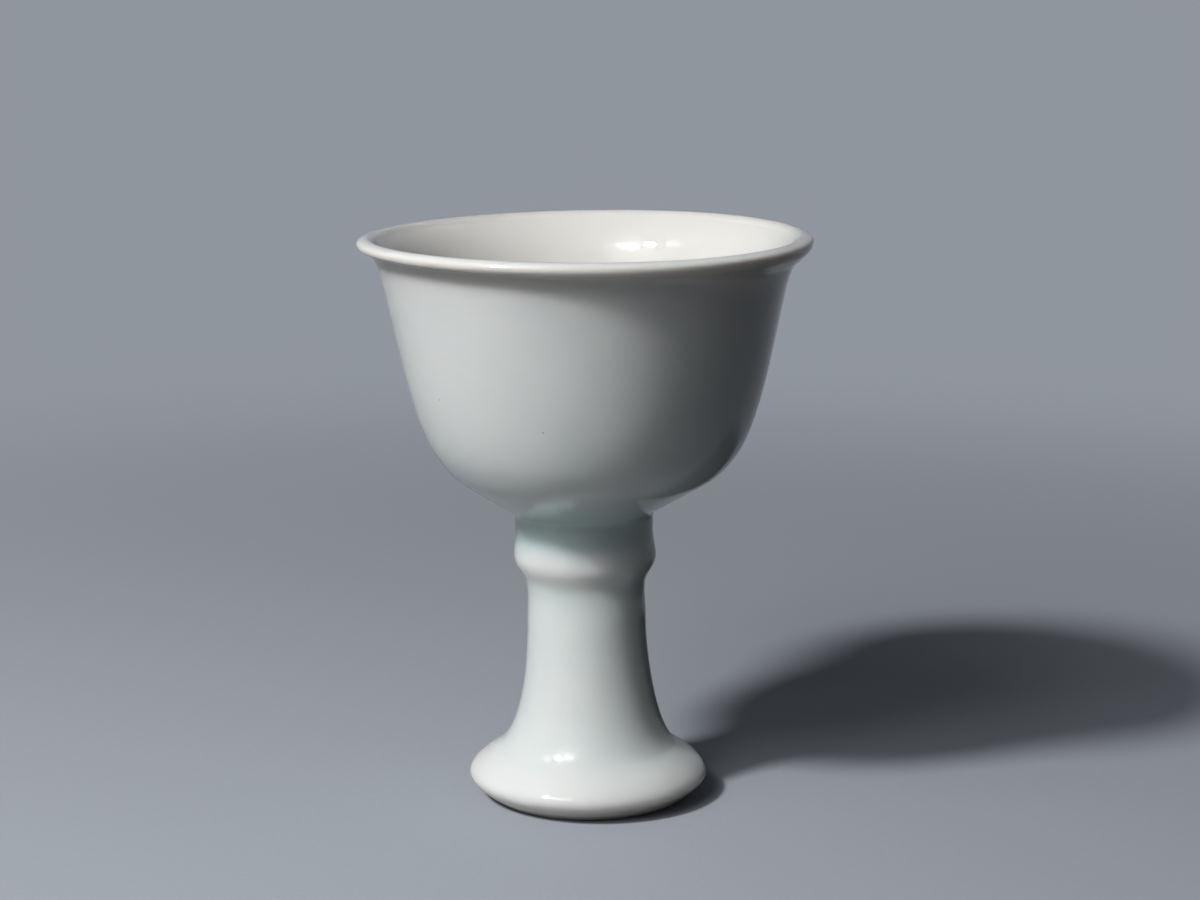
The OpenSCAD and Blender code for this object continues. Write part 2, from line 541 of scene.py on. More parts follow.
    def build_tree(self) -> None:
        """Lays a grid, wraps it round the axis along the outline, makes it uneven and closes its seams."""
        tree = self.tree
        given = add_node(tree, "NodeGroupInput").outputs
        size = add_node(tree, "GeometryNodeAttributeDomainSize", {0: given["Outline"]}, component="MESH")
        points = size.outputs["Point Count"]
        columns = calculate(tree, "ADD", given["Turns"], 1.0)
        rows = calculate(tree, "ADD", points, given["Closed"])
        grid = add_node(tree, "GeometryNodeMeshGrid", {"Vertices X": rows, "Vertices Y": columns})
        index = add_node(tree, "GeometryNodeInputIndex").outputs[0]
        middle = calculate(tree, "ADD", index, 0.5)
        row = calculate(tree, "FLOOR", calculate(tree, "DIVIDE", middle, columns))
        column = calculate(tree, "SUBTRACT", index, calculate(tree, "MULTIPLY", row, columns))
        ring = calculate(tree, "MODULO", row, points)
        share = calculate(tree, "DIVIDE", column, given["Turns"])
        angle = calculate(tree, "MULTIPLY", share, -math.tau)

        place = {"Geometry": grid.outputs["Mesh"], "Position": self.uneven_place(given, ring, angle)}
        placed = add_node(tree, "GeometryNodeSetPosition", place)
        depth = self.sample(given, ring, self.attribute(DEPTH_ATTRIBUTE, "FLOAT"), "FLOAT")
        store = {"Geometry": placed.outputs[0], "Name": DEPTH_ATTRIBUTE, "Value": depth}
        stored = add_node(tree, "GeometryNodeStoreNamedAttribute", store, data_type="FLOAT", domain="POINT")
        weld = {"Geometry": stored.outputs[0], "Distance": self.WELD_DISTANCE}
        welded = add_node(tree, "GeometryNodeMergeByDistance", weld)
        smooth = add_node(tree, "GeometryNodeSetShadeSmooth", {"Geometry": welded.outputs[0]}, domain="FACE")
        fold = add_node(tree, "GeometryNodeInputMeshEdgeAngle").outputs["Unsigned Angle"]
        is_sharp = calculate(tree, "GREATER_THAN", fold, given["Sharp angle"])
        sharpen = {"Geometry": smooth.outputs[0], "Selection": is_sharp, "Shade Smooth": False}
        sharp = add_node(tree, "GeometryNodeSetShadeSmooth", sharpen, domain="EDGE")
        real = add_node(tree, "GeometryNodeRealizeInstances", {"Geometry": sharp.outputs[0]})
        finish = {"Geometry": real.outputs[0], "Material": given["Material"]}
        finished = add_node(tree, "GeometryNodeSetMaterial", finish)
        add_node(tree, "NodeGroupOutput", {"Solid": finished.outputs[0]})

    def outline_object(self, name: str, outline: np.ndarray, slide: np.ndarray | None) -> bpy.types.Object:
        """Makes the mesh of an outline, with what the tree reads from it.

        Args:
            name: Name of the object.
            outline: Rows of radius, height, glaze depth and droop, in millimetres.
            slide: How far each point may slide outwards and up, in millimetres.

        Returns:
            The object.
        """
        mesh = bpy.data.meshes.new(name)
        mesh.from_pydata([(radius * MM, 0.0, height * MM) for radius, height, *_ in outline], [], [])
        slides = np.zeros((len(outline), 3))
        if slide is not None:
            slides[:, (0, 2)] = slide * MM
        vectors = {WARP_ATTRIBUTE: self.throwing.warp(outline[:, 1]), SLIDE_ATTRIBUTE: slides}
        for attribute, rows in vectors.items():
            layer = mesh.attributes.new(attribute, "FLOAT_VECTOR", "POINT")
            layer.data.foreach_set("vector", rows.astype(np.float32).ravel())
        for attribute, values in ((DEPTH_ATTRIBUTE, outline[:, 2]), (DROOP_ATTRIBUTE, outline[:, 3])):
            layer = mesh.attributes.new(attribute, "FLOAT", "POINT")
            layer.data.foreach_set("value", values.astype(np.float32))
        return new_object(name, mesh)

    def turn(self, name: str, outline: np.ndarray, finish: Material, closed: bool = True,
             slide: np.ndarray | None = None, slide_scale: float = 3.0) -> bpy.types.Object:
        """Turns an outline into a solid piece.

        Args:
            name: Name of the piece.
            outline: Rows of radius, height, depth and droop, the solid on the left of its direction.
            finish: Material of the piece.
            closed: Whether the outline is a loop. If not, it starts and ends on the axis.
            slide: How far each point may slide outwards and up.
            slide_scale: Number of waves of that sliding, about, across the piece.

        Returns:
            The piece, as a plain mesh.
        """
        piece = self.outline_object(name, outline, slide)
        modifier = piece.modifiers.new("turning", "NODES")
        modifier.node_group = self.tree
        throwing = self.throwing
        values = {
            "Turns": self.turns,
            "Closed": int(closed),
            "Tilt angle": math.radians(throwing.tilt_angle),
            "Droop": throwing.droop * MM,
            "Droop angle": math.radians(throwing.droop_angle),
            "Rim wave": throwing.rim_wave * MM,
            "Rim wave angle": math.radians(throwing.rim_wave_angle),
            "Unround": throwing.unround,
            "Unround scale": throwing.unround_scale,
            "Slide scale": slide_scale,
            "Seed": throwing.seed,
            "Sharp angle": math.radians(self.SHARP_ANGLE),
            "Material": finish,
        }
        sockets = {item.name: item.identifier for item in self.tree.interface.items_tree}
        for socket_name, value in values.items():
            modifier[sockets[socket_name]] = value
        graph = bpy.context.evaluated_depsgraph_get()
        solid = bpy.data.meshes.new_from_object(piece.evaluated_get(graph), depsgraph=graph)
        piece.modifiers.remove(modifier)
        bare = piece.data
        piece.data = solid
        solid.name = name
        bpy.data.meshes.remove(bare)
        return piece


def settle(piece: bpy.types.Object, node: str) -> None:
    """Puts a piece in the place of its node and reports it.

    Args:
        piece: The finished piece.
        node: Node of the frame that it stands for.
    """
    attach(piece, "root")
    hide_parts(node)
    LOG.info("%s: %d faces, for %s", piece.name, len(piece.data.polygons), node)


# Shared effects, with pattern scales in waves to the metre, about

POOL_SCALE = 70.0
THIN_DEPTHS = (0.0, 0.8)
POOL_DEPTHS = (0.85, 1.7)
SPECK_EDGE = (0.6, 1.0)
RING_SCALE = 420.0
PATCH_SCALE = 95.0


def pooled_colour_group() -> Tree:
    """Colour of a glaze by its depth: warm where it ran thin, cool and darker where it pooled. On the outer
    lip's shaded underside the warm thin colour is also painted glow of light through the lip.

    Returns:
        The shader node group.
    """
    inputs = {"Vector": SocketKind.VECTOR, "Depth": SocketKind.VALUE, "Thin": SocketKind.COLOUR,
              "Body": SocketKind.COLOUR, "Deep": SocketKind.COLOUR, "Drift": SocketKind.VALUE}
    tree = new_group("pooled glaze colour", "ShaderNodeTree", inputs, {"Colour": SocketKind.COLOUR})
    given = add_node(tree, "NodeGroupInput").outputs
    noise = calculate(tree, "SUBTRACT", mottle(tree, given["Vector"], POOL_SCALE, detail=3.0), 0.5)
    depth = calculate(tree, "ADD", given["Depth"], calculate(tree, "MULTIPLY", noise, given["Drift"]))
    covered = blend(tree, ramp(tree, depth, THIN_DEPTHS), given["Thin"], given["Body"])
    pooled = blend(tree, ramp(tree, depth, POOL_DEPTHS), covered, given["Deep"])
    add_node(tree, "NodeGroupOutput", {"Colour": pooled})
    return tree


def specks_group() -> Tree:
    """Mask of small scattered specks, such as iron in a glaze or grit on clay.

    Returns:
        The shader node group.
    """
    inputs = {"Vector": SocketKind.VECTOR, "Scale": SocketKind.VALUE, "Size": SocketKind.VALUE,
              "Share": SocketKind.VALUE}
    tree = new_group("scattered specks", "ShaderNodeTree", inputs, {"Mask": SocketKind.VALUE})
    given = add_node(tree, "NodeGroupInput").outputs
    cells = add_node(tree, "ShaderNodeTexVoronoi", {"Vector": given["Vector"], "Scale": given["Scale"]})
    chance = add_node(tree, "ShaderNodeSeparateColor", {0: cells.outputs["Color"]}).outputs[0]
    chosen = calculate(tree, "LESS_THAN", chance, given["Share"])
    edge = calculate(tree, "DIVIDE", cells.outputs["Distance"], given["Size"])
    spot = ramp(tree, edge, SPECK_EDGE, 1.0, 0.0)
    add_node(tree, "NodeGroupOutput", {"Mask": calculate(tree, "MULTIPLY", spot, chosen)})
    return tree


def surface_group() -> Tree:
    """Fine unevenness of a fired surface: a ripple, the rings left by turning, and a roughness that drifts.

    Returns:
        The shader node group.
    """
    inputs = {"Vector": SocketKind.VECTOR, "Ripple scale": SocketKind.VALUE, "Rings": SocketKind.VALUE,
              "Gloss": SocketKind.VALUE, "Gloss drift": SocketKind.VALUE}
    outputs = dict.fromkeys(("Height", "Roughness", "Shade"), SocketKind.VALUE)
    tree = new_group("fired surface", "ShaderNodeTree", inputs, outputs)
    given = add_node(tree, "NodeGroupInput").outputs
    ripple = mottle(tree, given["Vector"], given["Ripple scale"], detail=2.0)
    height = add_node(tree, "ShaderNodeSeparateXYZ", {0: given["Vector"]}).outputs["Z"]
    ring_inputs = {"W": height, "Scale": RING_SCALE, "Detail": 2.0}
    rings = add_node(tree, "ShaderNodeTexNoise", ring_inputs, noise_dimensions="1D").outputs[0]
    relief = calculate(tree, "MULTIPLY_ADD", rings, given["Rings"], ripple)
    patch = mottle(tree, given["Vector"], PATCH_SCALE, detail=4.0)
    roughness = calculate(tree, "MULTIPLY_ADD", patch, given["Gloss drift"], given["Gloss"])
    add_node(tree, "NodeGroupOutput", {"Height": relief, "Roughness": roughness, "Shade": patch})
    return tree


@dataclass(frozen=True)
class Effects:
    """Shader node groups that the finishes share."""

    pooled_colour: Tree = field(default_factory=pooled_colour_group)
    specks: Tree = field(default_factory=specks_group)
    surface: Tree = field(default_factory=surface_group)


def place_group(tree: Tree, group: Tree, inputs: dict[str, Any]) -> Any:
    """Outputs of a shared effect placed in a material."""
    values = {name: opaque(value) for name, value in inputs.items()}
    return add_node(tree, "ShaderNodeGroup", values, node_tree=group).outputs


def new_material(name: str) -> tuple[Material, Tree, bpy.types.Node]:
    """Makes a material.

    Args:
        name: Name of the material.

    Returns:
        The material, its node tree and its Principled BSDF.
    """
    material = bpy.data.materials.new(name)
    material.use_nodes = True
    tree = material.node_tree
    return material, tree, tree.nodes["Principled BSDF"]


def roughen(tree: Tree, shader: bpy.types.Node, surface: Any, relief: float) -> None:
    """Gives a material the roughness and the relief of a fired surface.

    Args:
        tree: Tree of the material.
        shader: Its Principled BSDF.
        surface: Outputs of the fired surface.
        relief: Height of the relief, in metres.
    """
    tree.links.new(surface["Roughness"], shader.inputs["Roughness"])
    bump = add_node(tree, "ShaderNodeBump", {"Height": surface["Height"], "Distance": relief})
    tree.links.new(bump.outputs[0], shader.inputs["Normal"])


# Finishes, with lengths in metres apart from the reach of the glow

@dataclass(frozen=True)
class GlazeFinish:
    """A pale fired glaze over porcelain, with its colour by depth, a few specks and a soft ripple.

    Light glows through it by its reach, in millimetres of red, green and blue, and less where it ran thin.
    """

    name: str
    thin: Colour
    body: Colour
    deep: Colour
    drift: float = 0.3
    gloss: float = 0.01
    gloss_drift: float = 0.03
    refraction: float = 1.5
    glow: float = 0.75
    glow_reach: Colour = (6.6, 6.0, 5.4)
    thin_reach: float = 0.25
    thin_reach_depths: Limits = (0.3, 1.0)
    rings: float = 0.5
    ripple_scale: float = 330.0
    ripple_height: float = 0.00002
    speck_colour: Colour = (0.16, 0.12, 0.09)
    speck_place: Place = (-0.0066, -0.0269, 0.0649)
    speck_radius: float = 0.00018
    speck_strength: float = 0.55
    scatter_scale: float = 130.0
    scatter_size: float = 0.022
    scatter_share: float = 0.12
    scatter_strength: float = 0.6

    def material(self, effects: Effects) -> Material:
        """Builds the material.

        Args:
            effects: Shared node groups.

        Returns:
            The material.
        """
        material, tree, shader = new_material(self.name)
        vector = add_node(tree, "ShaderNodeTexCoord").outputs["Object"]
        depth = add_node(tree, "ShaderNodeAttribute", attribute_name=DEPTH_ATTRIBUTE).outputs["Fac"]
        pool = {"Vector": vector, "Depth": depth, "Thin": self.thin, "Body": self.body, "Deep": self.deep,
                "Drift": self.drift}
        colour = place_group(tree, effects.pooled_colour, pool)["Colour"]
        scatter = {"Vector": vector, "Scale": self.scatter_scale, "Size": self.scatter_size,
                   "Share": self.scatter_share}
        specks = place_group(tree, effects.specks, scatter)["Mask"]
        away = distance(tree, vector, self.speck_place)
        speck_edge = (0.5 * self.speck_radius, self.speck_radius)
        spot = ramp(tree, away, speck_edge, self.speck_strength, 0.0)
        marks = calculate(tree, "MAXIMUM", calculate(tree, "MULTIPLY", specks, self.scatter_strength), spot)
        tree.links.new(blend(tree, marks, colour, self.speck_colour), shader.inputs["Base Color"])
        skin = {"Vector": vector, "Ripple scale": self.ripple_scale, "Rings": self.rings, "Gloss": self.gloss,
                "Gloss drift": self.gloss_drift}
        roughen(tree, shader, place_group(tree, effects.surface, skin), self.ripple_height)
        shader.inputs["IOR"].default_value = self.refraction
        shader.subsurface_method = "BURLEY"
        shader.inputs["Subsurface Weight"].default_value = self.glow
        shader.inputs["Subsurface Radius"].default_value = self.glow_reach
        reach = ramp(tree, depth, self.thin_reach_depths, self.thin_reach * MM, MM)
        tree.links.new(reach, shader.inputs["Subsurface Scale"])
        return material


@dataclass(frozen=True)
class ClayFinish:
    """Bare fired clay: matt, with a fine tooth, a warm flush in patches, and grit."""

    name: str
    colour: Colour
    flush: Colour
    grit_share: float
    grit_colour: Colour = (0.3, 0.22, 0.16)
    grit_scale: float = 420.0
    grit_size: float = 0.16
    flush_limits: Limits = (0.42, 0.66)
    rings: float = 1.2
    grain_scale: float = 1400.0
    grain_height: float = 0.00004
    gloss: float = 0.62
    gloss_drift: float = 0.25

    def material(self, effects: Effects) -> Material:
        """Builds the material.

        Args:
            effects: Shared node groups.

        Returns:
            The material.
        """
        material, tree, shader = new_material(self.name)
        vector = add_node(tree, "ShaderNodeTexCoord").outputs["Object"]
        grain = {"Vector": vector, "Ripple scale": self.grain_scale, "Rings": self.rings, "Gloss": self.gloss,
                 "Gloss drift": self.gloss_drift}
        surface = place_group(tree, effects.surface, grain)
        flushed = blend(tree, ramp(tree, surface["Shade"], self.flush_limits), self.colour, self.flush)
        scatter = {"Vector": vector, "Scale": self.grit_scale, "Size": self.grit_size,
                   "Share": self.grit_share}
        grit = place_group(tree, effects.specks, scatter)["Mask"]
        tree.links.new(blend(tree, grit, flushed, self.grit_colour), shader.inputs["Base Color"])
        roughen(tree, shader, surface, self.grain_height)
        return material


# The outer coat's warm thin colour is partly the colour of glaze that ran thin and partly painted glow: on
# the lip's shaded underside it stands in for light that passes through the thin lip.
OUTSIDE_GLAZE = GlazeFinish("pale cool glaze", thin=(0.83, 0.765, 0.68), body=(0.825, 0.825, 0.808),
                            deep=(0.575, 0.71, 0.698))
INSIDE_GLAZE = GlazeFinish("pale warm glaze", thin=(0.78, 0.765, 0.73), body=(0.76, 0.748, 0.717),
                           deep=(0.72, 0.725, 0.7))
BARE_PORCELAIN = ClayFinish("bare porcelain", (0.72, 0.68, 0.61), flush=(0.68, 0.57, 0.45), grit_share=0.12)
DRIED_SLIP = ClayFinish("fired slip", (0.66, 0.61, 0.53), flush=(0.6, 0.5, 0.4), grit_share=0.05)


# Pieces

@dataclass
class Stem:
    """Hollow shaft with its cushion foot, and the collar ring luted round its head."""

    height: float = from_frame(top_of, "stem")
    foot_radius: float = from_frame(reach_of, "stem")
    crease_height: float = from_frame(bottom_of, "collar_ring")
    glaze_line: float = 1.0
    foot_edge_height: float = 3.6
    foot_overhang: float = 3.3
    foot_ring_width: float = 3.2
    foot_belly: float = 2.0
    ankle_radius: float = 13.9
    ankle_height: float = 8.3
    ankle_slope: float = 46.5
    waist_radius: float = 9.3
    waist_drop: float = 15.35
    head_radius: float = 8.9
    shoulder_width: float = 0.45
    crease_lean: float = 80.0
    bore_radius: float = 5.2
    flare_height: float = 16.0
    flare_slope: float = 48.0
    bead_thickness: float = 2.25
    bead_drop: float = 5.05
    neck_thickness: float = 1.9
    neck_drop: float = 1.1
    seat_radius: float = from_frame(reach_of, "luting_slip")
    collar_top_lean: float = 86.0
    edge_round: float = 0.35
    edge_steps: int = 5

    def __post_init__(self) -> None:
        """Works out the stations of the outline."""
        top, head = self.height, self.head_radius
        self.ring_radius = self.foot_radius - self.foot_overhang
        self.hollow_radius = self.ring_radius - self.foot_ring_width
        edge_slope = math.degrees(math.atan2(self.foot_edge_height, self.foot_overhang))
        self.under_slope = edge_slope - self.foot_belly
        run = self.glaze_line / math.tan(math.radians(self.under_slope))
        self.foot_line = Station(self.ring_radius + run, self.glaze_line, self.under_slope, depth=0.3)
        self.foot_edge = Station(self.foot_radius, self.foot_edge_height, 90, depth=0.85)
        self.ankle = Station(self.ankle_radius, self.ankle_height, 180 - self.ankle_slope, depth=1.2)
        self.waist = Station(self.waist_radius, top - self.waist_drop, 90, depth=1.15)
        self.crease = Station(head + self.shoulder_width, self.crease_height, self.crease_lean, depth=1.3)
        self.bead = Station(head + self.bead_thickness, top - self.bead_drop, 90, depth=0.95)
        self.neck = Station(head + self.neck_thickness, top - self.neck_drop, 90, depth=1.6)
        self.collar_top = Station(self.seat_radius, top, self.collar_top_lean, depth=1.7)

    def stem_outline(self) -> np.ndarray:
        """Outer face of the stem, from the glaze line up to the collar's shoulder.

        Returns:
            Rows of radius, height, glaze depth and droop.
        """
        return np.vstack((
            Span(self.foot_line, self.foot_edge, 0.4, 0.25).points(),
            Span(self.foot_edge, self.ankle, 0.22, 0.19).points(),
            Span(self.ankle, self.waist, 0.24, 0.28).points(),
            Span(self.waist, self.crease).points(),
        ))

    def collar_outline(self) -> np.ndarray:
        """Outer face of the collar ring, from the shoulder up to the slip.

        Returns:
            Rows of radius, height, glaze depth and droop.
        """
        return np.vstack((
            Span(self.crease, self.bead).points(),
            Span(self.bead, self.neck).points(),
            Span(self.neck, self.collar_top).points(),
            corner(*self.collar_top.point, self.collar_top.depth),
        ))

    def foot_ring(self) -> np.ndarray:
        """Resting ring, its worn edges rounded, from the hollow to the glaze line.

        Returns:
            Rows of radius, height, glaze depth and droop.
        """
        worn = self.edge_round
        inner = Station(self.hollow_radius, 0, -self.flare_slope)
        outer = Station(self.ring_radius, 0, self.under_slope)
        inner_up = Station(*(inner.point - worn * heading(inner.angle)), inner.angle)
        outer_up = Station(*(outer.point + worn * heading(outer.angle)), outer.angle)
        inner_in = Station(inner.radius + worn, 0, 0)
        outer_in = Station(outer.radius - worn, 0, 0)
        return np.vstack((
            Span(inner_up, inner_in, steps=self.edge_steps).points(),
            corner(*inner_in.point),
            Span(outer_in, outer_up, steps=self.edge_steps).points(),
            corner(*outer_up.point),
        ))

    def build(self, wheel: Wheel, finish: Material) -> None:
        """Makes the stem and the collar ring.

        Args:
            wheel: What the pieces are turned on.
            finish: Material of the bare porcelain.
        """
        flare_top = Station(self.bore_radius, self.flare_height, 270)
        flare_end = Station(self.hollow_radius, 0, -self.flare_slope)
        flare = Span(flare_top, flare_end).points()
        clear_of_ring = flare[flare[:, 1] > self.edge_round]
        stem = np.vstack((
            self.foot_ring(),
            self.stem_outline(),
            corner(*self.crease.point),
            corner(self.head_radius, self.crease_height),
            corner(self.head_radius, self.height),
            corner(self.bore_radius, self.height),
            clear_of_ring,
        ))
        settle(wheel.turn("porcelain_stem", stem, finish), "stem")
        collar = np.vstack((
            self.collar_outline(),
            corner(self.head_radius, self.height),
            corner(self.head_radius, self.crease_height),
        ))
        settle(wheel.turn("porcelain_collar", collar, finish), "collar_ring")


@dataclass
class Bowl:
    """Bell-shaped bowl with a turned-out lip, its tenon and the slip that beds it on the stem."""

    seat_height: float = from_frame(top_of, "luting_slip")
    seat_radius: float = from_frame(reach_of, "luting_slip")
    bed_height: float = from_frame(top_of, "stem")
    tenon_height: float = from_frame(bottom_of, "bowl")
    lip_height: float = from_frame(top_of, "bowl")
    mouth_radius: float = from_frame(reach_of, "bowl")
    tenon_radius: float = 4.7
    slip_thickness: float = 0.5
    slip_roll: float = 1.0
    slip_low_angle: float = 110.0
    slip_end_angle: float = 160.0
    slip_lumps: float = 0.35
    lump_scale: float = 2.2
    boss_height: float = 1.6
    boss_fillet: float = 1.1
    base_radius: float = 19.3
    base_slope: float = 32.0
    haunch_radius: float = 23.9
    haunch_rise: float = 11.45
    haunch_slope: float = 55.0
    haunch_wall: float = 2.6
    floor_thickness: float = 4.5
    lip_reach: float = 4.0
    lip_rise: float = 7.1
    throat_slope: float = 75.5
    throat_wall: float = 2.7
    throat_flare: float = 5.0
    lip_wall: float = 1.8
    lip_under_in: float = 1.7
    lip_under_drop: float = 2.3
    lip_under_slope: float = 40.0
    lip_edge_drop: float = 0.6
    lip_top_in: float = 1.4

    def __post_init__(self) -> None:
        """Works out the stations of the outline."""
        seat, lip, mouth = self.seat_height, self.lip_height, self.mouth_radius
        boss_corner = np.array((self.seat_radius, seat + self.boss_height))
        boss_end = boss_corner + self.boss_fillet * heading(self.base_slope)
        base_rise = (self.base_radius - self.seat_radius) * math.tan(math.radians(self.base_slope))
        under_radius, under_height = mouth - self.lip_under_in, lip - self.lip_under_drop
        self.boss_low = Station(self.seat_radius, boss_corner[1] - self.boss_fillet, 90, depth=1.7)
        self.boss_high = Station(*boss_end, self.base_slope, depth=1.65)
        self.base = Station(self.base_radius, boss_corner[1] + base_rise, self.base_slope, depth=1.35)
        self.haunch = Station(self.haunch_radius, seat + self.haunch_rise, self.haunch_slope, depth=1.15)
        self.throat = Station(mouth - self.lip_reach, lip - self.lip_rise, self.throat_slope, depth=1.05)
        # The lip's underside gets a low glaze depth, so the warm thin colour there is partly thin glaze and
        # partly a painted warm glow of light through the lip on its shaded side.
        self.lip_under = Station(under_radius, under_height, self.lip_under_slope, depth=0.15, droop=1.0)
        self.lip_edge = Station(mouth, lip - self.lip_edge_drop, 90, depth=0.4)
        self.lip_top = Station(mouth - self.lip_top_in, lip, 180, depth=0.8)
        self.inner_lip = self.lip_under.behind(self.lip_wall, depth=0.3)
        self.inner_throat = self.throat.behind(self.throat_wall, depth=0.5, flare=self.throat_flare)
        self.inner_haunch = self.haunch.behind(self.haunch_wall, depth=0.8)
        self.well = Station(0.0, seat + self.floor_thickness, 180, depth=1.2)

    def outer_outline(self) -> np.ndarray:
        """Outer face of the bowl, from its seat up to the top of the lip.

        Returns:
            Rows of radius, height, glaze depth and droop.
        """
        return np.vstack((
            corner(self.seat_radius, self.seat_height, depth=1.6),
            Span(self.boss_low, self.boss_high).points(),
            corner(*self.boss_high.point, self.boss_high.depth),
            Span(self.base, self.haunch, 0.25, 0.55).points(),
            Span(self.haunch, self.throat, 0.25, 0.25).points(),
            Span(self.throat, self.lip_under, 0.45, 0.3).points(),
            Span(self.lip_under, self.lip_edge, 0.4, 0.4).points(),
            Span(self.lip_edge, self.lip_top, 0.25, 0.25).points(),
        ))

    def inner_outline(self) -> np.ndarray:
        """Inner face of the bowl, from the top of the lip down to the middle of the well.

        Returns:
            Rows of radius, height, glaze depth and droop.
        """
        return np.vstack((
            Span(self.lip_top, self.inner_lip, 0.45, 0.2).points(),
            Span(self.inner_lip, self.inner_throat).points(),
            Span(self.inner_throat, self.inner_haunch).points(),
            Span(self.inner_haunch, self.well, 0.3, 0.45).points(),
            corner(*self.well.point, self.well.depth),
        ))

    def build(self, wheel: Wheel, porcelain: Material, slip: Material) -> None:
        """Makes the bowl and the slip under it.

        Args:
            wheel: What the pieces are turned on.
            porcelain: Material of the bare porcelain.
            slip: Material of the slip.
        """
        bowl = np.vstack((
            corner(0.0, self.tenon_height),
            corner(self.tenon_radius, self.tenon_height),
            corner(self.tenon_radius, self.seat_height),
            self.outer_outline(),
            self.inner_outline(),
        ))
        settle(wheel.turn("porcelain_bowl", bowl, porcelain, closed=False), "bowl")

        bore = self.tenon_radius + self.slip_thickness
        low = Station(bore, self.tenon_height - self.slip_roll, self.slip_low_angle)
        inner = Station(self.tenon_radius - self.slip_roll, self.tenon_height, self.slip_end_angle)
        roll = np.vstack((Span(low, inner).points(), corner(*inner.point)))
        joint = np.vstack((
            corner(self.tenon_radius, self.tenon_height),
            roll[::-1],
            corner(bore, self.bed_height),
            corner(self.seat_radius, self.bed_height),
            corner(self.seat_radius, self.seat_height),
            corner(self.tenon_radius, self.seat_height),
        ))
        free = np.zeros((len(joint), 2))
        reach = np.sin(np.pi * np.linspace(0, 1, len(roll)))[:, None]
        free[1:len(roll) + 1] = -self.slip_lumps * reach
        piece = wheel.turn("slip_joint", joint, slip, slide=free, slide_scale=self.lump_scale)
        settle(piece, "luting_slip")


@dataclass
class GlazeCoats:
    """The coat of glaze inside the bowl and the one outside the cup, which ends short of the foot ring."""

    stem: Stem
    bowl: Bowl
    thickness: float = field(default_factory=lambda: reach_of("outer_glaze") - reach_of("bowl"))
    edge_roll: float = 0.5
    edge_wander: float = 0.22
    wander_reach: float = 2.2
    wander_scale: float = 2.6

    def build(self, wheel: Wheel, inside: Material, outside: Material) -> None:
        """Makes both coats.

        Args:
            wheel: What the pieces are turned on.
            inside: Material of the inner coat.
            outside: Material of the outer coat.
        """
        lip_top = self.bowl.lip_top
        inner = self.bowl.inner_outline()
        even = np.full(len(inner), self.thickness)
        inner_skin = grown(inner, even, lip_top.angle, self.bowl.well.angle)
        liner = np.vstack((inner[::-1], inner_skin))
        settle(wheel.turn("glaze_inside", liner, inside, closed=False), "liner_glaze")

        outer = np.vstack((
            self.stem.stem_outline(),
            self.stem.collar_outline(),
            self.bowl.outer_outline(),
            corner(*lip_top.point, lip_top.depth),
        ))
        far = along(outer)
        rolled = np.clip(far / self.edge_roll, 0, 1)
        thickness = self.thickness * np.sqrt(1 - (1 - rolled) ** 2)
        skin = grown(outer, thickness, self.stem.foot_line.angle, lip_top.angle)
        wander = (1 - eased(far, 0, self.wander_reach)) * self.edge_wander
        free = wander[:, None] * heading(self.stem.under_slope)
        coat = np.vstack((skin[1:], outer[::-1]))
        slide = np.vstack((free[1:], free[::-1]))
        piece = wheel.turn("glaze_outside", coat, outside, slide=slide, slide_scale=self.wander_scale)
        settle(piece, "outer_glaze")


# Studio, with lengths in metres apart from the camera's place

@dataclass(frozen=True)
class Lamp:
    """One disc of the softbox, placed from the softbox's middle: across, up, and behind its face."""

    name: str
    across: float
    up: float
    width: float
    height: float
    power: float
    behind: float = 0.0


@dataclass(frozen=True)
class Softbox:
    """Key light from the front left: a bright bulb, softer lobes round it, and a soft sheet behind them."""

    forward: float = 39.5
    elevation: float = 43.5
    distance: float = 0.8
    target: Place = (0.0, 0.0, 0.045)
    lamps: tuple[Lamp, ...] = (
        Lamp("softbox bulb", 0.0, 0.0, 0.11, 0.11, 5.1),
        Lamp("softbox left lobe", -0.2, 0.0, 0.14, 0.16, 0.22),
        Lamp("softbox right lobe", 0.19, 0.0, 0.2, 0.2, 0.46),
        Lamp("softbox upper lobe", 0.0, 0.2, 0.2, 0.14, 0.13),
        Lamp("softbox lower lobe", 0.0, -0.16, 0.2, 0.14, 0.08),
        Lamp("softbox sheet", 0.25, -0.04, 0.5, 0.5, 1.25, behind=0.1),
    )

    def build(self) -> None:
        """Hangs the lamps."""
        turn, lift = math.radians(self.forward), math.radians(self.elevation)
        towards = Vector((-math.cos(turn) * math.cos(lift), -math.sin(turn) * math.cos(lift), math.sin(lift)))
        facing = towards.to_track_quat("Z", "Y")
        sideways, upwards = facing @ Vector((1, 0, 0)), facing @ Vector((0, 1, 0))
        for lamp in self.lamps:
            light = bpy.data.lights.new(lamp.name, "AREA")
            light.shape = "ELLIPSE"
            light.size, light.size_y = lamp.width, lamp.height
            light.energy = lamp.power
            holder = new_object(lamp.name, light)
            offset = sideways * lamp.across + upwards * lamp.up
            holder.location = Vector(self.target) + towards * (self.distance + lamp.behind) + offset
            holder.rotation_euler = facing.to_euler()
            holder.visible_camera = False
            LOG.info("%s: %.2f W", lamp.name, lamp.power)


